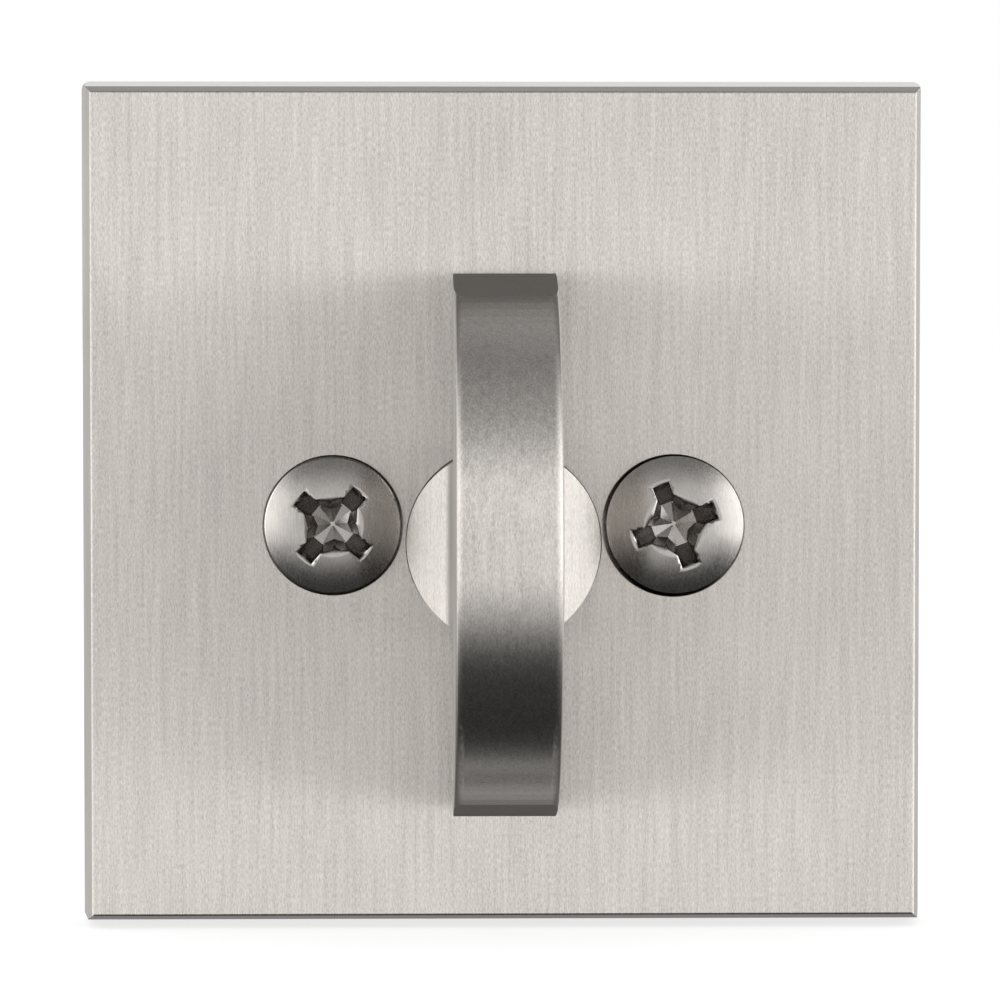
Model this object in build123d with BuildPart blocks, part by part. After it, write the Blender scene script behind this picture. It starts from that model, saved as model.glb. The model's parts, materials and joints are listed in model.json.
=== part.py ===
from build123d import *
import math
import os

# Inside half of a square deadbolt: a thumbturn on a drafted rose, with its two through-bolts.
# Millimetres, +Z up. The room is on the -Y side and the door on the +Y side.
# The origin is on the turn's axis, in the plane of the door's face.

# Rose
ROSE_BACK = 68.8          # square outline against the door
ROSE_THICK = 7.0
WALL_DRAFT = 0.6          # each side wall leans in by this much, up to the bevel
BEVEL = 0.47              # then the bevel leans in by this much more
BEVEL_DEPTH = 1.5
ROSE_RISE = 3.1           # the rose's centre stands this far above the turn's axis
ROSE_SKIN = 2.4           # front wall
CAVITY = 62.0             # square pocket in the back
CAVITY_R = 2.0
RIB_T = 1.6
BOLT_BOSS_R = 7.2
SCREW_BOSS_R = 3.4
CORNER_R = 0.68           # at the door; it fades to nothing at the bevel
FRONT_EDGE_R = 0.2

# Turn
BLADE_WIDTH = 8.3
BLADE_HALF_BACK = 21.8    # half length of the edge nearest the rose
BLADE_HALF_FRONT = 20.0   # half length at the foot of the arched front
BLADE_GAP = 3.4           # from the rose's face to the blade
BLADE_SHOULDER = 11.6     # from the rose's face to the foot of the arch
BLADE_CROWN = 24.0        # from the rose's face to the top of the arch
BLADE_EDGE_R = 0.73
HUB_R = 7.88
HUB_BACK = -4.4           # y of the hub's back face
NECK_HALF = 5.15          # half width of the blade's root
NECK_RISE = 2.5           # height of the sloped shoulders at the root
ROOT_R = 3.0              # hollow between shoulder and blade
JOURNAL_R = 4.97
SPINDLE_END = 9.0
FLATS = 8.4               # across the spindle's two flats
GROOVE_R = 4.0
PIN_Y = 7.2

# Bearing and stack behind the rose
RECESS_R = 7.95
RECESS_FLOOR = -3.6
BUSH_R = 6.5
BUSH_BORE_R = 5.0
FLANGE_R = 7.7
BOSS_R = 10.3
BOSS_BACK = 1.6
WASHER_R = 7.8
SPRING_R = 7.5
WASHER_BORE_R = 5.2
THRUST_T = 0.6
SPRING_T = 0.4
SPRING_HEIGHT = 0.95
STOP_FRONT = 3.2
STOP_T = 1.2
STOP_R = 7.4
STOP_LUG_REACH = 9.9
CLIP_T = 0.8
CLIP_R = 7.6
CLIP_BORE_R = 5.5           # the clip's three teeth reach in from here to the groove
STOP_PIN_R = 0.9
STOP_PIN_CIRCLE = 9.0
STOP_LUG_WIDTH = 3.0
STOP_SLACK = 0.08         # left between lug and pin at each end of the travel
TRAVEL = 90.0             # degrees
LUG_ANGLE = 135.0         # lug at rest, in degrees from +X towards +Z

# Through-bolts, no. 12-24 oval heads
BOLT_X = 13.85
BOLT_Z = 1.5
BOLT_R = 2.743
NECK_R = 2.4              # unthreaded neck, the blank that the thread is rolled on
THREAD_START = 8.0
BOLT_HOLE_R = 2.95
SEAT_GAP = 0.03
HEAD_R = 5.55
SINK_R = 5.65
SINK_SHIFT = {-1: (0.04, -0.03), 1: (-0.12, -0.08)}   # each countersink is slightly off its bolt
HEAD_RIM = 0.4            # height of the head's edge, under the crown
HEAD_EDGE_R = 0.3
CROWN = 1.45
# Cross recess, by height from the top of the crown
DRIVE_WINGS = ((1.0, 5.2, 1.42), (-0.75, 3.4, 1.4), (-3.0, 1.75, 1.0))   # height, reach, thickness
# The core between the wings: height, reach and half width of its lobes, reach of its notches
DRIVE_CORE = ((0.3, 2.95, 0.45, 2.13), (-3.0, 1.78, 0.42, 1.2), (-3.45, 0.2, 0.07, 0.15))
BOLT_END = 44.0
BOLT_TURNS = {"left": 50.0, "right": 20.5}
RETAINER_R = 3.6
RETAINER_T = 1.0

# Backing plate and its screws
PLATE = 61.6
PLATE_T = 1.2
PLATE_BACK = -0.2
PLATE_CORNER_R = 1.8
PLATE_SCREW_AT = 26.5
PLATE_SCREW_R = 1.5
PLATE_HEAD_R = 2.6
PLATE_SCREW_END = -5.6

# Tailpiece
TAIL_WIDTH = 6.35
TAIL_T = 1.8
TAIL_START = -0.5
TAIL_END = 46.0
NOTCHES = 3               # snap-off notches along each edge
NOTCH_PITCH = 6.5
NOTCH_SIDE = 0.9
PIN_R = 1.0
PIN_BORE_R = 0.5

os.makedirs("parts", exist_ok=True)

FACE = -ROSE_THICK        # y of the rose's front face
PLATE_FRONT = PLATE_BACK - PLATE_T
BOLT_TAN = math.tan(math.radians(41))


def facing(y, x=0.0, z=0.0):
    """A plane at this y that faces the room: its x is +X and its y is +Z."""
    return Plane(origin=(x, y, z), x_dir=(1, 0, 0), z_dir=(0, -1, 0))


def taper(inset, height):
    """The draft angle that leans a wall in by the inset over the height."""
    return math.degrees(math.atan(inset / height))


def turned_about(x, z):
    """The plane that holds a revolved outline: its x is the radius and its y is +Y."""
    return Plane(origin=(x, 0, z), x_dir=(1, 0, 0), z_dir=(0, 0, 1))


def save(piece, name):
    piece.label = name
    export_step(piece, f"parts/{name}.step")


def polar(radius, degrees):
    angle = math.radians(degrees)
    return radius * math.cos(angle), radius * math.sin(angle)


def turned(y, x, z, degrees):
    """A plane at this y that faces the door: its x is turned by this angle from +X towards +Z."""
    right, up = polar(1, degrees)
    return Plane(origin=(x, y, z), x_dir=(right, 0, up), z_dir=(0, 1, 0))


def lobed(reach, half_width, notch):
    """The corners of a cross-shaped outline with blunt lobes and a notch between each two."""
    spread = math.degrees(math.atan2(half_width, reach))
    tip = math.hypot(reach, half_width)
    corners = ((tip, -spread), (tip, spread), (notch, 45))
    return [polar(radius, quarter + degrees) for quarter in (0, 90, 180, 270) for radius, degrees in corners]


# Rose: a hollow casting with a long centre boss, two bolt bosses and four corner bosses
with BuildPart() as rose_plate:
    wall_height = ROSE_THICK - BEVEL_DEPTH
    with BuildSketch(facing(0, z=ROSE_RISE)):
        RectangleRounded(ROSE_BACK, ROSE_BACK, CORNER_R)
    extrude(amount=wall_height, taper=taper(WALL_DRAFT, wall_height))
    with BuildSketch(facing(-wall_height, z=ROSE_RISE)):
        Rectangle(ROSE_BACK - 2 * WALL_DRAFT, ROSE_BACK - 2 * WALL_DRAFT)
    extrude(amount=BEVEL_DEPTH, taper=taper(BEVEL, BEVEL_DEPTH))
    fillet(rose_plate.faces().sort_by(Axis.Y)[0].edges(), FRONT_EDGE_R)
    with BuildSketch(facing(0, z=ROSE_RISE)):
        RectangleRounded(CAVITY, CAVITY, CAVITY_R)
    extrude(amount=ROSE_THICK - ROSE_SKIN, mode=Mode.SUBTRACT)
    rib_span = CAVITY - 1.0
    with BuildSketch(facing(PLATE_FRONT - 0.8, z=ROSE_RISE)):
        with Locations((0, -ROSE_RISE)):
            Rectangle(rib_span, RIB_T)
        Rectangle(RIB_T, rib_span)
    extrude(amount=ROSE_THICK - ROSE_SKIN + PLATE_FRONT - 0.8)
    with BuildSketch(facing(PLATE_FRONT)):
        with Locations((-BOLT_X, BOLT_Z), (BOLT_X, BOLT_Z)):
            Circle(BOLT_BOSS_R)
        with Locations((0, ROSE_RISE)):
            with GridLocations(2 * PLATE_SCREW_AT, 2 * PLATE_SCREW_AT, 2, 2):
                Circle(SCREW_BOSS_R)
    extrude(amount=ROSE_THICK - ROSE_SKIN + PLATE_FRONT)
    with BuildSketch(facing(BOSS_BACK)):
        Circle(BOSS_R)
    extrude(amount=ROSE_THICK - ROSE_SKIN + BOSS_BACK)
    with BuildSketch(facing(RECESS_FLOOR)):
        Circle(RECESS_R)
    extrude(amount=ROSE_THICK, mode=Mode.SUBTRACT)
    with BuildSketch(facing(BOSS_BACK)):
        Circle(BUSH_R)
    extrude(amount=ROSE_THICK, mode=Mode.SUBTRACT)
    for side, shift in SINK_SHIFT.items():
        x = side * BOLT_X
        with BuildSketch(facing(1, x, BOLT_Z)):
            Circle(BOLT_HOLE_R)
        extrude(amount=ROSE_THICK + 2, mode=Mode.SUBTRACT)
        sink_x, sink_z = x + shift[0], BOLT_Z + shift[1]
        sink_r = SINK_R + math.hypot(*shift)
        with BuildSketch(turned_about(sink_x, sink_z)):
            with BuildLine():
                Polyline(
                    (0, FACE - 1), (sink_r, FACE - 1), (sink_r, FACE),
                    (BOLT_HOLE_R - 0.5, FACE + (sink_r - BOLT_HOLE_R + 0.5) / BOLT_TAN),
                    (0, FACE + (sink_r - BOLT_HOLE_R + 0.5) / BOLT_TAN), close=True,
                )
            make_face()
        revolve(axis=Axis((sink_x, 0, sink_z), (0, 1, 0)), mode=Mode.SUBTRACT)
    with BuildSketch(facing(PLATE_FRONT, z=ROSE_RISE)):
        with GridLocations(2 * PLATE_SCREW_AT, 2 * PLATE_SCREW_AT, 2, 2):
            Circle(PLATE_SCREW_R)
    extrude(amount=PLATE_FRONT - PLATE_SCREW_END, mode=Mode.SUBTRACT)
    lug_clearance = math.degrees(
        math.asin((STOP_LUG_WIDTH / 2 + STOP_PIN_R + STOP_SLACK) / STOP_PIN_CIRCLE)
    )
    pin_angles = {
        "start": LUG_ANGLE + lug_clearance,
        "finish": LUG_ANGLE - TRAVEL - lug_clearance,
    }
    with BuildSketch(facing(BOSS_BACK)):
        for degrees in pin_angles.values():
            with Locations(polar(STOP_PIN_CIRCLE, degrees)):
                Circle(STOP_PIN_R)
    extrude(amount=BOSS_BACK - PLATE_FRONT, mode=Mode.SUBTRACT)
save(rose_plate.part, "rose_plate")

# Bushing that lines the rose's bore, with its flange under the hub
with BuildPart() as spindle_bushing:
    with BuildSketch(facing(BOSS_BACK - 0.2)):
        Circle(BUSH_R)
    extrude(amount=BOSS_BACK - 0.2 - RECESS_FLOOR)
    with BuildSketch(facing(RECESS_FLOOR)):
        Circle(FLANGE_R)
    extrude(amount=RECESS_FLOOR - HUB_BACK - 0.03)
    with BuildSketch(facing(BOSS_BACK)):
        Circle(BUSH_BORE_R)
    extrude(amount=ROSE_THICK, mode=Mode.SUBTRACT)
save(spindle_bushing.part, "spindle_bushing")

# Turn: arched blade, sloped hub and spindle in one casting
with BuildPart() as turn_piece:
    with BuildSketch(facing(HUB_BACK)):
        Circle(HUB_R)
    extrude(amount=ROSE_THICK + BLADE_GAP + 1.6 + HUB_BACK)
    with BuildSketch(turned_about(0, -HUB_R - 1)):
        with BuildLine():
            wall = BLADE_WIDTH / 2
            root_y = FACE - NECK_RISE - (NECK_HALF - wall)
            right = Polyline(
                (0, HUB_BACK), (HUB_R + 0.5, HUB_BACK), (HUB_R + 0.5, FACE), (HUB_R, FACE),
                (wall, root_y), (wall, FACE - BLADE_GAP - 2), (0, FACE - BLADE_GAP - 2),
            )
            mirror(right, about=Plane.YZ)
        make_face()
        shoulder_roots = [v for v in vertices() if abs(v.Y - root_y) < 0.01]
        fillet(shoulder_roots, ROOT_R)
    extrude(amount=2 * HUB_R + 2, mode=Mode.INTERSECT)
    with BuildSketch(Plane.YZ):
        with BuildLine():
            Polyline(
                (FACE - BLADE_SHOULDER, -BLADE_HALF_FRONT),
                (FACE - BLADE_GAP, -BLADE_HALF_BACK),
                (FACE - BLADE_GAP, BLADE_HALF_BACK),
                (FACE - BLADE_SHOULDER, BLADE_HALF_FRONT),
            )
            ThreePointArc(
                (FACE - BLADE_SHOULDER, BLADE_HALF_FRONT),
                (FACE - BLADE_CROWN, 0),
                (FACE - BLADE_SHOULDER, -BLADE_HALF_FRONT),
            )
        make_face()
    extrude(amount=BLADE_WIDTH / 2, both=True)
    front_edges = [
        e for e in turn_piece.edges().filter_by(GeomType.CIRCLE)
        if e.radius > HUB_R * 2 and abs(e.center().X) > BLADE_WIDTH / 4
    ]
    fillet(front_edges, BLADE_EDGE_R)
    with BuildSketch(facing(SPINDLE_END)):
        Circle(JOURNAL_R)
    extrude(amount=SPINDLE_END - HUB_BACK)
    with BuildSketch(facing(SPINDLE_END)):
        Circle(JOURNAL_R + 1)
        Rectangle(FLATS, 4 * JOURNAL_R, mode=Mode.SUBTRACT)
    extrude(amount=SPINDLE_END - STOP_FRONT, mode=Mode.SUBTRACT)
    clip_front = STOP_FRONT + STOP_T
    with BuildSketch(facing(clip_front + CLIP_T)):
        Circle(JOURNAL_R + 1)
        Circle(GROOVE_R, mode=Mode.SUBTRACT)
    extrude(amount=CLIP_T, mode=Mode.SUBTRACT)
    with BuildSketch(facing(SPINDLE_END)):
        Rectangle(TAIL_T + 0.1, TAIL_WIDTH + 0.1)
    extrude(amount=SPINDLE_END - TAIL_START, mode=Mode.SUBTRACT)
    with BuildSketch(Plane.YZ):
        with Locations((PIN_Y, 0)):
            Circle(PIN_R)
    extrude(amount=JOURNAL_R, both=True, mode=Mode.SUBTRACT)
save(turn_piece.part, "turn_piece")

# Flat washer that takes the thrust on the boss
with BuildPart() as thrust_washer:
    with BuildSketch(facing(BOSS_BACK + THRUST_T)):
        Circle(WASHER_R)
        Circle(WASHER_BORE_R, mode=Mode.SUBTRACT)
    extrude(amount=THRUST_T)
save(thrust_washer.part, "thrust_washer")

# Bowed spring washer: an arched strip cut to a ring
with BuildPart() as spring_washer:
    with BuildSketch(facing(STOP_FRONT + 1)):
        Circle(SPRING_R)
        Circle(WASHER_BORE_R, mode=Mode.SUBTRACT)
    extrude(amount=3)
    bow = SPRING_HEIGHT - SPRING_T
    top = STOP_FRONT - SPRING_HEIGHT
    with BuildSketch(Plane.XY.offset(-8)):
        with BuildLine():
            foot = top + bow
            ThreePointArc((-SPRING_R, foot), (0, top), (SPRING_R, foot))
            Line((SPRING_R, foot), (SPRING_R, foot + SPRING_T))
            ThreePointArc((SPRING_R, foot + SPRING_T), (0, top + SPRING_T), (-SPRING_R, foot + SPRING_T))
            Line((-SPRING_R, foot + SPRING_T), (-SPRING_R, foot))
        make_face()
    extrude(amount=16, mode=Mode.INTERSECT)
save(spring_washer.part, "spring_washer")

# Stop plate keyed to the spindle's flats; its lug meets a stop pin at each end of the travel
with BuildPart() as stop_plate:
    with BuildSketch(facing(STOP_FRONT + STOP_T)):
        Circle(STOP_R)
        with Locations(Rotation(0, 0, LUG_ANGLE)):
            with Locations((STOP_LUG_REACH / 2, 0)):
                Rectangle(STOP_LUG_REACH, STOP_LUG_WIDTH)
    extrude(amount=STOP_T)
    with BuildSketch(facing(STOP_FRONT + STOP_T)):
        Circle(JOURNAL_R + 0.05)
        Rectangle(FLATS + 0.1, 4 * JOURNAL_R, mode=Mode.INTERSECT)
    extrude(amount=STOP_T, mode=Mode.SUBTRACT)
save(stop_plate.part, "stop_plate")

# Two hardened pins pressed into the boss
for pin_name, degrees in pin_angles.items():
    pin_x, pin_z = polar(STOP_PIN_CIRCLE, degrees)
    with BuildPart() as stop_pin:
        with BuildSketch(facing(STOP_FRONT + STOP_T - 0.1, pin_x, pin_z)):
            Circle(STOP_PIN_R)
        extrude(amount=STOP_FRONT + STOP_T - 0.1 - PLATE_FRONT)
        chamfer(stop_pin.edges().sort_by(Axis.Y)[-1], 0.2)
    save(stop_pin.part, f"stop_pin_{pin_name}")

# E-clip in the spindle's groove
with BuildPart() as retaining_clip:
    with BuildSketch(facing(clip_front + CLIP_T)):
        Circle(CLIP_R)
        Circle(CLIP_BORE_R, mode=Mode.SUBTRACT)
        with PolarLocations(4.9, 3, start_angle=90):
            Rectangle(1.8, 2.6)
        with Locations((0, -6)):
            Rectangle(7.0, 6.0, mode=Mode.SUBTRACT)
        Circle(GROOVE_R, mode=Mode.SUBTRACT)
    extrude(amount=CLIP_T)
save(retaining_clip.part, "retaining_clip")

# Tailpiece with snap-off notches, and the pin that holds it in the spindle
with BuildPart() as tailpiece:
    with BuildSketch(Plane.YZ):
        with Locations(((TAIL_START + TAIL_END) / 2, 0)):
            Rectangle(TAIL_END - TAIL_START, TAIL_WIDTH)
        with Locations((PIN_Y, 0)):
            Circle(PIN_R + 0.05, mode=Mode.SUBTRACT)
        with Locations((TAIL_END, TAIL_WIDTH / 2), (TAIL_END, -TAIL_WIDTH / 2)):
            Rectangle(1.6, 1.6, rotation=45, mode=Mode.SUBTRACT)
        for notch in range(NOTCHES):
            notch_y = TAIL_END - 8 - NOTCH_PITCH * notch
            with Locations((notch_y, TAIL_WIDTH / 2), (notch_y, -TAIL_WIDTH / 2)):
                Rectangle(NOTCH_SIDE, NOTCH_SIDE, rotation=45, mode=Mode.SUBTRACT)
    extrude(amount=TAIL_T / 2, both=True)
save(tailpiece.part, "tailpiece")

with BuildPart() as tailpiece_pin:
    with BuildSketch(Plane.YZ):
        with Locations((PIN_Y, 0)):
            Circle(PIN_R)
            Circle(PIN_BORE_R, mode=Mode.SUBTRACT)
    extrude(amount=FLATS / 2 - 0.1, both=True)
save(tailpiece_pin.part, "tailpiece_pin")

# Steel backing plate that closes the rose's pocket
with BuildPart() as backing_plate:
    with BuildSketch(facing(PLATE_BACK, z=ROSE_RISE)):
        RectangleRounded(PLATE, PLATE, PLATE_CORNER_R)
        with Locations((0, -ROSE_RISE)):
            Circle(BOSS_R + 0.3, mode=Mode.SUBTRACT)
        with Locations((-BOLT_X, BOLT_Z - ROSE_RISE), (BOLT_X, BOLT_Z - ROSE_RISE)):
            Circle(BOLT_HOLE_R + 0.05, mode=Mode.SUBTRACT)
    extrude(amount=PLATE_T)
    for x in (-PLATE_SCREW_AT, PLATE_SCREW_AT):
        for z in (ROSE_RISE - PLATE_SCREW_AT, ROSE_RISE + PLATE_SCREW_AT):
            with BuildSketch(turned_about(x, z)):
                with BuildLine():
                    cone_foot = PLATE_BACK - (PLATE_HEAD_R - PLATE_SCREW_R)
                    Polyline(
                        (0, PLATE_FRONT - 1), (PLATE_SCREW_R, PLATE_FRONT - 1),
                        (PLATE_SCREW_R, cone_foot), (PLATE_HEAD_R, PLATE_BACK),
                        (PLATE_HEAD_R, PLATE_BACK + 1), (0, PLATE_BACK + 1), close=True,
                    )
                make_face()
            revolve(axis=Axis((x, 0, z), (0, 1, 0)), mode=Mode.SUBTRACT)
save(backing_plate.part, "backing_plate")

# Four flat-head screws that hold the backing plate
for side, x in (("left", -PLATE_SCREW_AT), ("right", PLATE_SCREW_AT)):
    for level, z in (("lower", ROSE_RISE - PLATE_SCREW_AT), ("upper", ROSE_RISE + PLATE_SCREW_AT)):
        with BuildPart() as plate_screw:
            with BuildSketch(turned_about(x, z)):
                with BuildLine():
                    Polyline(
                        (0, PLATE_SCREW_END + 0.3), (1.1, PLATE_SCREW_END + 0.3),
                        (PLATE_SCREW_R, PLATE_SCREW_END + 0.7),
                        (PLATE_SCREW_R, cone_foot), (PLATE_HEAD_R, PLATE_BACK),
                        (0, PLATE_BACK), close=True,
                    )
                make_face()
            revolve(axis=Axis((x, 0, z), (0, 1, 0)))
            with BuildSketch(facing(PLATE_BACK, x, z)):
                Rectangle(2.6, 0.6, rotation=20)
                Rectangle(0.6, 2.6, rotation=20)
            extrude(amount=1.0, taper=8, mode=Mode.SUBTRACT)
        save(plate_screw.part, f"plate_screw_{level}_{side}")

# Oval-head Phillips through-bolts and the nylon rings that keep them in the rose
for side, x in (("left", -BOLT_X), ("right", BOLT_X)):
    rim = FACE + (SINK_R - HEAD_R) / BOLT_TAN - SEAT_GAP
    crown_rim = rim - HEAD_RIM
    crown_top = crown_rim - CROWN
    with BuildPart() as through_bolt:
        with BuildSketch(turned_about(x, BOLT_Z)):
            with BuildLine():
                Polyline(
                    (0, crown_top), (0, BOLT_END), (BOLT_R - 0.6, BOLT_END), (BOLT_R, BOLT_END - 0.6),
                    (BOLT_R, THREAD_START + BOLT_R - NECK_R), (NECK_R, THREAD_START),
                    (NECK_R, rim + (HEAD_R - NECK_R) / BOLT_TAN), (HEAD_R, rim), (HEAD_R, crown_rim),
                )
                sag = (HEAD_R**2 + CROWN**2) / (2 * CROWN)
                RadiusArc((HEAD_R, crown_rim), (0, crown_top), sag)
            make_face()
            head_edge = [v for v in vertices() if abs(v.Y - crown_rim) < 0.01 and v.X > BOLT_R + x]
            fillet(head_edge, HEAD_EDGE_R)
        revolve(axis=Axis((x, 0, BOLT_Z), (0, 1, 0)))
        for quarter in (0, 90):
            for height, reach, thickness in DRIVE_WINGS:
                with BuildSketch(turned(crown_top - height, x, BOLT_Z, BOLT_TURNS[side] + quarter)):
                    Rectangle(2 * reach, thickness)
            loft(ruled=True, mode=Mode.SUBTRACT)
        for height, *sizes in DRIVE_CORE:
            with BuildSketch(turned(crown_top - height, x, BOLT_Z, BOLT_TURNS[side])):
                Polygon(*lobed(*sizes), align=None)
        loft(ruled=True, mode=Mode.SUBTRACT)
    save(through_bolt.part, f"through_bolt_{side}")
    with BuildPart() as bolt_retainer:
        with BuildSketch(facing(PLATE_BACK + RETAINER_T, x, BOLT_Z)):
            Circle(RETAINER_R)
            Circle(NECK_R, mode=Mode.SUBTRACT)
        extrude(amount=RETAINER_T)
    save(bolt_retainer.part, f"bolt_retainer_{side}")
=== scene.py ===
import json
import math

import bmesh
import bpy
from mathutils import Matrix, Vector


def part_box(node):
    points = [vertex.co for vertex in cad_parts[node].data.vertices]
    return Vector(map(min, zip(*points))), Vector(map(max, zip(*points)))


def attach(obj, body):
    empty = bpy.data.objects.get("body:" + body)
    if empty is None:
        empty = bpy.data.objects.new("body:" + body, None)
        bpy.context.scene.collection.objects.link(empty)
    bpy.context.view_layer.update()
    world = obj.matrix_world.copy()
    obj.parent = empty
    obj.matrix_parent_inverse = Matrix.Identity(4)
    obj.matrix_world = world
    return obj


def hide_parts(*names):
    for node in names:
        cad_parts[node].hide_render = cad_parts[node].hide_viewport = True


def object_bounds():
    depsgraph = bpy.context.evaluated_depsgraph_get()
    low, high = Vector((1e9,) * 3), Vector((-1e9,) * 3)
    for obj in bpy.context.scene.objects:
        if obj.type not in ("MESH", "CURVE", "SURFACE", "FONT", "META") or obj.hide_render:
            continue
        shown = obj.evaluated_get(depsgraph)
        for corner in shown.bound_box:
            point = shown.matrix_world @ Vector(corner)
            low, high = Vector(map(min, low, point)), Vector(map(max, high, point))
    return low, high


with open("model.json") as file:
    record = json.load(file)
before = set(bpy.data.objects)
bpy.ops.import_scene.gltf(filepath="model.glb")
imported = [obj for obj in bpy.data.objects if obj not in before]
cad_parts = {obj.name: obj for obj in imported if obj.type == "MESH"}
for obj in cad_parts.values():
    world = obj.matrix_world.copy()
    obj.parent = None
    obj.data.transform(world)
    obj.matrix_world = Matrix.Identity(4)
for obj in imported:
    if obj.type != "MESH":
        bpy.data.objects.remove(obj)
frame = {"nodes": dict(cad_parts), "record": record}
cad_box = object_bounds()
nodes = frame["nodes"]
MM = 0.001

# ---------------------------------------------------------------- camera
# Square on to the rose, a little above and to the left of the turn.
EYE = Vector((-8.4, -407.0, 21.8)) * MM
AIM = Vector((-0.3, -7.0, 3.5)) * MM
cam_data = bpy.data.cameras.new("camera")
cam_data.lens = 178.3
cam_data.sensor_width = 36.0
cam_data.clip_start, cam_data.clip_end = 0.01, 20
camera = bpy.data.objects.new("camera", cam_data)
camera.location = EYE
camera.rotation_mode = "QUATERNION"
camera.rotation_quaternion = (AIM - EYE).to_track_quat("-Z", "Y")
bpy.context.scene.collection.objects.link(camera)
bpy.context.scene.camera = camera
bpy.context.scene.view_settings.view_transform = "Standard"


# ---------------------------------------------------------------- node helpers
class Graph:
    """A node tree, with short calls for the nodes that the finishes and the studio share."""

    def __init__(self, tree):
        self.tree = tree
        self.tree.nodes.clear()

    def add(self, kind, **settings):
        node = self.tree.nodes.new(kind)
        for key, value in settings.items():
            setattr(node, key, value)
        return node

    def link(self, a, b):
        self.tree.links.new(a, b)

    def fill(self, socket, value):
        if isinstance(value, (int, float)):
            socket.default_value = value
        else:
            self.link(value, socket)

    def math(self, operation, a, b=0.0):
        node = self.add("ShaderNodeMath", operation=operation)
        self.fill(node.inputs[0], a)
        self.fill(node.inputs[1], b)
        return node.outputs[0]

    def spread(self, value, low, high, start=0.0, end=1.0, kind="LINEAR"):
        node = self.add("ShaderNodeMapRange", interpolation_type=kind)
        for key, number in (("From Min", start), ("From Max", end), ("To Min", low), ("To Max", high)):
            node.inputs[key].default_value = number
        self.link(value, node.inputs["Value"])
        return node.outputs[0]

    def split(self, vector):
        node = self.add("ShaderNodeSeparateXYZ")
        self.link(vector, node.inputs[0])
        return node.outputs

    def ramp(self, value, low, high, stops):
        """Brightness by value, from (value, brightness) stops in order."""
        node = self.add("ShaderNodeValToRGB")
        self.link(self.spread(value, 0, 1, low, high), node.inputs[0])
        elements = node.color_ramp.elements
        for index, (at, level) in enumerate(stops):
            place = (at - low) / (high - low)
            stop = elements[index] if index < 2 else elements.new(place)
            stop.position = place
            stop.color = (level, level, level, 1)
        return node.outputs[0]


class Shader(Graph):
    def __init__(self, name):
        self.material = bpy.data.materials.new(name)
        self.material.use_nodes = True
        super().__init__(self.material.node_tree)
        self.output = self.add("ShaderNodeOutputMaterial")
        self.bsdf = self.add("ShaderNodeBsdfPrincipled")
        self.link(self.bsdf.outputs[0], self.output.inputs["Surface"])
        self.place = self.add("ShaderNodeTexCoord").outputs["Object"]

    def stretched(self, scale, turn=(0, 0, 0)):
        node = self.add("ShaderNodeMapping")
        node.inputs["Scale"].default_value = scale
        node.inputs["Rotation"].default_value = turn
        self.link(self.place, node.inputs["Vector"])
        return node.outputs[0]

    def noise(self, vector, scale=1.0, detail=3.0, roughness=0.6):
        node = self.add("ShaderNodeTexNoise")
        node.inputs["Scale"].default_value = scale
        node.inputs["Detail"].default_value = detail
        node.inputs["Roughness"].default_value = roughness
        self.link(vector, node.inputs["Vector"])
        return node.outputs["Fac"]

    def tint(self, factor, dark, light):
        node = self.add("ShaderNodeMix", data_type="RGBA")
        self.fill_colour(node.inputs[6], dark)
        self.fill_colour(node.inputs[7], light)
        self.link(factor, node.inputs[0])
        return node.outputs[2]

    def fill_colour(self, socket, colour):
        if isinstance(colour, tuple):
            socket.default_value = (*colour, 1)
        else:
            self.link(colour, socket)

    def bump(self, height, distance, strength=1.0):
        node = self.add("ShaderNodeBump")
        node.inputs["Strength"].default_value = strength
        node.inputs["Distance"].default_value = distance
        self.link(height, node.inputs["Height"])
        self.link(node.outputs[0], self.bsdf.inputs["Normal"])

    def facing(self):
        """The face's own normal, fixed to the piece."""
        turn = self.add(
            "ShaderNodeVectorTransform", vector_type="NORMAL", convert_from="WORLD", convert_to="OBJECT",
        )
        self.link(self.add("ShaderNodeNewGeometry").outputs["True Normal"], turn.inputs[0])
        return self.split(turn.outputs[0])

    def lie(self, x, y, z):
        """Sets the direction that highlights spread in, fixed to the piece."""
        axis = self.add("ShaderNodeCombineXYZ")
        for socket, value in zip(axis.inputs, (x, y, z)):
            self.fill(socket, value)
        turn = self.add(
            "ShaderNodeVectorTransform", vector_type="VECTOR", convert_from="OBJECT", convert_to="WORLD",
        )
        self.link(axis.outputs[0], turn.inputs[0])
        self.link(turn.outputs[0], self.bsdf.inputs["Tangent"])


def scaled(colour, factor):
    return tuple(min(1.0, c * factor) for c in colour)


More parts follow.
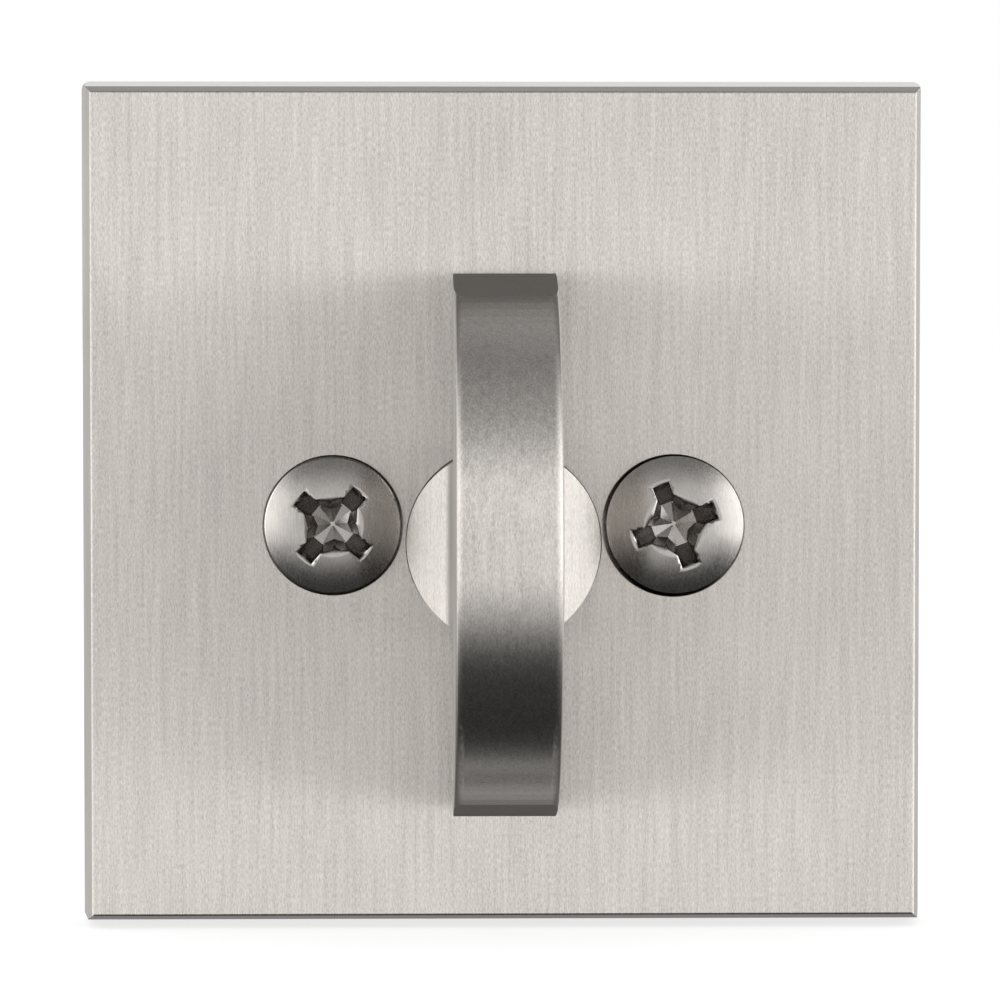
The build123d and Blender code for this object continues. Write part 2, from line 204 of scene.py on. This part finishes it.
def brushed(name, colour, roughness, anisotropy, side_shade, end_shade, end_roughness=None):
    """Satin plate, brushed along Z where it faces the room.

    The fifth and sixth arguments are painted shade: the tones painted on its sides and on its top and bottom
    ends.
    """
    s = Shader(name)
    normal = s.facing()
    fine = s.noise(s.stretched((9000, 9000, 2500)), detail=3, roughness=0.75)
    broad = s.noise(s.stretched((2600, 2600, 110)), detail=2)
    cloud = s.noise(s.stretched((60, 60, 40)), detail=2)
    grain = s.math("ADD", s.math("MULTIPLY", fine, 0.75), s.math("MULTIPLY", broad, 0.25))
    shade = s.math("ADD", s.math("MULTIPLY", grain, 0.9), s.math("MULTIPLY", cloud, 0.1))
    face = s.tint(s.spread(shade, 0, 1, 0.36, 0.64), scaled(colour, 0.68), scaled(colour, 1.28))
    # Painted shade: the sides and the top and bottom ends are painted in darker tones than the face.
    painted_shade = s.tint(s.spread(cloud, 0, 1, 0.3, 0.7), scaled(colour, side_shade * 0.9), scaled(colour, side_shade * 1.1))
    end = s.tint(
        s.spread(grain, 0, 1, 0.36, 0.64),
        scaled(colour, end_shade * 0.85), scaled(colour, end_shade * 1.15),
    )
    painted_shade = s.tint(s.spread(s.math("ABSOLUTE", normal["Z"]), 0, 1, 0.85, 0.95), painted_shade, end)
    # Faces turned away from the front take the painted shade.
    turned_away = s.spread(normal["Y"], 0, 1, -0.6, -0.4)
    s.link(s.tint(turned_away, face, painted_shade), s.bsdf.inputs["Base Color"])
    worn = s.spread(grain, roughness * 0.85, roughness * 1.2, 0.3, 0.7)
    if end_roughness:
        upright = s.math("GREATER_THAN", s.math("ABSOLUTE", normal["Z"]), 0.9)
        worn = s.math("ADD", worn, s.math("MULTIPLY", upright, end_roughness - roughness))
    s.link(worn, s.bsdf.inputs["Roughness"])
    s.bsdf.inputs["Metallic"].default_value = 1.0
    s.bsdf.inputs["Anisotropic"].default_value = anisotropy
    sideways = s.math("GREATER_THAN", s.math("ABSOLUTE", normal["X"]), 0.8)
    s.lie(s.math("SUBTRACT", 1.0, sideways), sideways, 0.0)
    s.bump(grain, 0.000004)
    return s.material


def worn_steel(name, colour, roughness, grain=(900, 900, 900)):
    """Plain steel with fine handling marks."""
    s = Shader(name)
    cloud = s.noise(s.stretched((220, 220, 220)), detail=5)
    fine = s.noise(s.stretched(grain), detail=6, roughness=0.7)
    mix = s.math("ADD", s.math("MULTIPLY", cloud, 0.5), s.math("MULTIPLY", fine, 0.5))
    worn = s.tint(s.spread(mix, 0, 1, 0.3, 0.7), scaled(colour, 0.8), scaled(colour, 1.12))
    s.link(worn, s.bsdf.inputs["Base Color"])
    s.link(s.spread(fine, roughness * 0.7, roughness * 1.4, 0.3, 0.7), s.bsdf.inputs["Roughness"])
    s.bsdf.inputs["Metallic"].default_value = 1.0
    s.bump(fine, 0.000006)
    return s.material


def screw_steel(name, colour, roughness, head_y):
    """Plated screw: fine crossing scratches, and painted shade on the steep walls of its recess."""
    s = Shader(name)
    normal = s.facing()
    first = s.noise(s.stretched((9000, 9000, 350), (0, 0.7, 0)), detail=3, roughness=0.7)
    second = s.noise(s.stretched((9000, 9000, 350), (0, -0.9, 0)), detail=3, roughness=0.7)
    scratch = s.math("MAXIMUM", first, second)
    cloud = s.noise(s.stretched((400, 400, 400)), detail=3)
    shade = s.math("ADD", s.math("MULTIPLY", scratch, 0.7), s.math("MULTIPLY", cloud, 0.3))
    unshaded = s.tint(s.spread(shade, 0, 1, 0.4, 0.66), scaled(colour, 0.82), scaled(colour, 1.15))
    # Painted shade: the steep walls inside the head's recess are painted darker.
    recess_shade = s.tint(cloud, scaled(colour, 0.42), scaled(colour, 0.56))
    steep = s.spread(normal["Y"], 0, 1, -0.68, -0.62)
    in_head = s.math("LESS_THAN", s.split(s.place)["Y"], head_y)
    s.link(s.tint(s.math("MULTIPLY", steep, in_head), unshaded, recess_shade), s.bsdf.inputs["Base Color"])
    s.link(s.spread(scratch, roughness * 0.8, roughness * 1.3, 0.4, 0.66), s.bsdf.inputs["Roughness"])
    s.bsdf.inputs["Metallic"].default_value = 1.0
    s.bump(scratch, 0.000004)
    return s.material


def moulded(name, colour):
    """Translucent engineering plastic."""
    s = Shader(name)
    cloud = s.noise(s.stretched((400, 400, 400)), detail=4)
    s.link(s.tint(cloud, scaled(colour, 0.92), scaled(colour, 1.05)), s.bsdf.inputs["Base Color"])
    s.link(s.spread(cloud, 0.35, 0.55), s.bsdf.inputs["Roughness"])
    s.bsdf.inputs["Subsurface Weight"].default_value = 0.2
    s.bsdf.inputs["Subsurface Scale"].default_value = 0.002
    s.bump(cloud, 0.00001)
    return s.material


NICKEL = (0.70, 0.665, 0.625)
finishes = {
    "bolt_steel": screw_steel("bolt_steel", (0.58, 0.55, 0.52), 0.24, -0.0055),
    "zinc_plated_steel": worn_steel("zinc_plated_steel", (0.66, 0.69, 0.72), 0.3),
    "backing_steel": worn_steel("backing_steel", (0.60, 0.62, 0.64), 0.35, (60, 900, 3000)),
    "tail_steel": worn_steel("tail_steel", (0.60, 0.59, 0.57), 0.3, (3000, 60, 3000)),
    "pin_steel": worn_steel("pin_steel", (0.45, 0.46, 0.48), 0.25),
    "spring_steel": worn_steel("spring_steel", (0.10, 0.11, 0.14), 0.3),
    "acetal": moulded("acetal", (0.85, 0.84, 0.80)),
    "nylon": moulded("nylon", (0.80, 0.78, 0.70)),
}
# After roughness and anisotropy come the painted shade tones of the sides and of the top and bottom ends; the
# turn's last number is the roughness of its ends.
own_finish = {
    "rose_plate": brushed("satin_nickel_rose", scaled(NICKEL, 1.1), 0.42, 1.0, 0.48, 0.92),
    "turn_piece": brushed("satin_nickel_turn", NICKEL, 0.40, 1.0, 0.46, 0.36, 0.75),
}
for part in frame["record"]["subparts"]:
    mesh = nodes[part["node"]].data
    mesh.materials.clear()
    mesh.materials.append(own_finish.get(part["node"]) or finishes[part["material_slot"]])


# ---------------------------------------------------------------- threads
THREAD_R = 2.743          # no. 12-24: the crest, and the sharp-bottomed root under it
ROOT_R = 2.09
NECK_R = 2.4
PITCH = 25.4 / 24
THREAD_FROM = 8.0
THREAD_TO = 44.0
RUN_IN = 1.2
POINT = 0.6               # bevel at the bolt's end
STEPS = 48                # per turn
PROFILE = ((0.0, 0.0), (0.08, 0.0), (0.46, 1.0), (0.62, 1.0))   # along one pitch, height of the thread
SHRINK = 0.02             # how far each end of the thread stays inside its neighbour
OVERLAP = 0.2             # how far the thread reaches back into the neck
CUT = THREAD_FROM - 0.05  # where the CAD bolt is cut off
WELD = 0.001
THREAD_WELD = 0.002
LIP_R = 4.4               # the recess's rounded lips lie this near the axis and the crown
LIP_DEPTH = 2.0


def threaded_shank(x, z):
    """A closed rolled thread along +Y, as a list of vertices in metres and a list of faces."""
    turns = math.ceil((THREAD_TO - THREAD_FROM) / PITCH) + 1
    columns = turns * STEPS + 1
    points = []
    for column in range(columns):
        angle = 2 * math.pi * column / STEPS
        for along, height in PROFILE:
            y = THREAD_FROM - PITCH + PITCH * (column / STEPS + along)
            fade = min(1.0, max(0.0, (y - THREAD_FROM) / RUN_IN))
            radius = NECK_R + fade * (ROOT_R + height * (THREAD_R - ROOT_R) - NECK_R)
            y = min(THREAD_TO, max(THREAD_FROM - OVERLAP, y))
            radius = min(radius, THREAD_R - POINT + THREAD_TO - y)
            if y < THREAD_FROM:
                radius = NECK_R - SHRINK
            if y == THREAD_TO:
                radius = ROOT_R - SHRINK
            points.append((x + radius * math.cos(angle), y, z + radius * math.sin(angle)))
    size = len(PROFILE)
    faces = []
    for column in range(columns - 1):
        here, there = column * size, (column + 1) * size
        for step in range(size - 1):
            faces.append((here + step, here + step + 1, there + step + 1, there + step))
        if column + STEPS + 1 < columns:
            above, beyond = (column + STEPS) * size, (column + STEPS + 1) * size
            faces.append((here + size - 1, above, beyond, there + size - 1))
    return [tuple(c * MM for c in point) for point in points], faces


def threaded_bolt(side):
    """The CAD bolt's head and neck with a real thread behind them."""
    cad = nodes[f"through_bolt_{side}"]
    low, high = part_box(f"through_bolt_{side}")
    middle = Vector(((low.x + high.x) / 2, (low.z + high.z) / 2))
    mesh = cad.data.copy()
    bolt = bpy.data.objects.new(f"threaded_bolt_{side}", mesh)
    bpy.context.scene.collection.objects.link(bolt)
    head = bmesh.new()
    head.from_mesh(mesh)
    bmesh.ops.bisect_plane(
        head, geom=head.verts[:] + head.edges[:] + head.faces[:],
        plane_co=(0, CUT * MM, 0), plane_no=(0, 1, 0), clear_outer=True,
    )
    rim = [v for v in head.verts if abs(v.co.y - CUT * MM) < WELD * MM]
    bmesh.ops.remove_doubles(head, verts=rim, dist=WELD * MM)
    rim = [e for e in head.edges if all(abs(v.co.y - CUT * MM) < WELD * MM for v in e.verts)]
    bmesh.ops.holes_fill(head, edges=rim)
    lips = [v for v in head.verts if v.co.y < low.y + LIP_DEPTH * MM and (v.co.xz - middle).length < LIP_R * MM]
    bmesh.ops.remove_doubles(head, verts=lips, dist=WELD * MM)
    for face in {f for v in lips if v.is_valid for f in v.link_faces}:
        face.smooth = True
    thread = bmesh.new()
    points, faces = threaded_shank(middle.x / MM, middle.y / MM)
    verts = [thread.verts.new(point) for point in points]
    for corners in faces:
        thread.faces.new([verts[i] for i in corners])
    bmesh.ops.remove_doubles(thread, verts=thread.verts[:], dist=THREAD_WELD * MM)
    bmesh.ops.dissolve_degenerate(thread, edges=thread.edges[:], dist=THREAD_WELD * MM)
    loose = [v for v in thread.verts if not v.link_faces]
    bmesh.ops.delete(thread, geom=loose, context="VERTS")
    open_edges = [e for e in thread.edges if e.is_boundary]
    bmesh.ops.holes_fill(thread, edges=open_edges)
    bmesh.ops.recalc_face_normals(thread, faces=thread.faces[:])
    for face in thread.faces:
        face.smooth = True
    spare = bpy.data.meshes.new("thread")
    thread.to_mesh(spare)
    head.from_mesh(spare)
    head.to_mesh(mesh)
    bpy.data.meshes.remove(spare)
    mesh.set_sharp_from_angle(angle=math.radians(35))
    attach(bolt, "rose")
    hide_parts(f"through_bolt_{side}")


for side in ("left", "right"):
    threaded_bolt(side)

# ---------------------------------------------------------------- stage and light
FLOOR_HALF = 3.0
floor_z = cad_box[0].z
floor_mesh = bpy.data.meshes.new("floor")
corners = [(x * FLOOR_HALF, y * FLOOR_HALF, floor_z) for x, y in ((-1, -1), (1, -1), (1, 1), (-1, 1))]
floor_mesh.from_pydata(corners, [], [(0, 1, 2, 3)])
floor = bpy.data.objects.new("floor", floor_mesh)
bpy.context.scene.collection.objects.link(floor)
pale = Shader("pale_floor")
pale.bsdf.inputs["Base Color"].default_value = (0.3, 0.3, 0.3, 1)
pale.bsdf.inputs["Emission Color"].default_value = (1, 1, 1, 1)
pale.bsdf.inputs["Emission Strength"].default_value = 0.75
pale.bsdf.inputs["Roughness"].default_value = 0.9
pale.bsdf.inputs["Specular IOR Level"].default_value = 0.0
floor_mesh.materials.append(pale.material)
floor.visible_glossy = False

# Brightness ahead of, above and below the rose, by degrees up from the camera's side
MERIDIAN = [
    (-180, 0.6), (-165, 0.45), (-140, 0.2), (-130, 0.5), (-120, 0.55), (-117, 0.12), (-107, 0.12), (-105, 0.45),
    (-99, 0.45), (-97, 0.05), (-86, 0.03), (-52, 0.04), (-43, 0.1), (-35, 0.32), (-26, 0.64), (-15, 0.86),
    (-7, 0.84), (0, 0.76), (15, 0.78), (28, 0.76), (37, 0.48), (47, 0.26), (60, 0.13), (80, 0.12), (90, 0.24),
    (97, 0.4), (121, 0.4), (130, 0.36), (145, 0.26), (158, 0.75), (170, 1.25), (180, 1.25),
]
# Brightness at both sides, by degrees round from the camera's side
SIDES = [(0, 0.9), (30, 1.0), (60, 1.7), (80, 3.2), (100, 3.0), (118, 0.4), (145, 0.15), (165, 0.3), (180, 0.4)]
# How much of it is left above and below the horizon, by height on the unit sphere
FADE = [(-1, 0.03), (-0.55, 0.04), (-0.35, 0.3), (-0.15, 0.95), (0.4, 1.0), (0.65, 0.4), (1, 0.25)]


def sky():
    """Studio surround: bright ahead of the rose and at both sides, grey overhead, dark below."""
    world = bpy.data.worlds.new("studio")
    bpy.context.scene.world = world
    world.use_nodes = True
    g = Graph(world.node_tree)
    x, y, z = g.split(g.add("ShaderNodeTexCoord").outputs["Generated"])
    ahead = g.math("MULTIPLY", y, -1.0)
    wide = g.math("ABSOLUTE", x)
    up = g.math("ARCTAN2", z, ahead)
    round_ = g.math("ARCTAN2", wide, ahead)
    front = g.ramp(up, -math.pi, math.pi, [(math.radians(a), b) for a, b in MERIDIAN])
    beside = g.ramp(round_, 0, math.pi, [(math.radians(a), b) for a, b in SIDES])
    lit_side = g.math("MULTIPLY", beside, g.ramp(z, -1, 1, FADE))
    lit_side = g.math("MULTIPLY", lit_side, g.spread(x, 0.95, 1.1, -0.5, 0.5))
    share = g.spread(wide, 0, 1, 0.45, 0.72, "SMOOTHSTEP")
    level = g.add("ShaderNodeMix", data_type="FLOAT")
    g.link(share, level.inputs[0])
    g.link(front, level.inputs[2])
    g.link(lit_side, level.inputs[3])
    mirrored = g.add("ShaderNodeBackground")
    g.link(level.outputs[0], mirrored.inputs["Strength"])
    plain = g.add("ShaderNodeBackground")
    plain.inputs["Color"].default_value = (1, 1, 1, 1)
    plain.inputs["Strength"].default_value = 1.15
    seen = g.add("ShaderNodeBackground")
    seen.inputs["Color"].default_value = (1, 1, 1, 1)
    mirrored.inputs["Color"].default_value = (1, 1, 1, 1)
    path = g.add("ShaderNodeLightPath")
    soft = g.add("ShaderNodeMixShader")
    g.link(path.outputs["Is Diffuse Ray"], soft.inputs[0])
    g.link(mirrored.outputs[0], soft.inputs[1])
    g.link(plain.outputs[0], soft.inputs[2])
    shown = g.add("ShaderNodeMixShader")
    g.link(path.outputs["Is Camera Ray"], shown.inputs[0])
    g.link(soft.outputs[0], shown.inputs[1])
    g.link(seen.outputs[0], shown.inputs[2])
    g.link(shown.outputs[0], g.add("ShaderNodeOutputWorld").inputs[0])


sky()
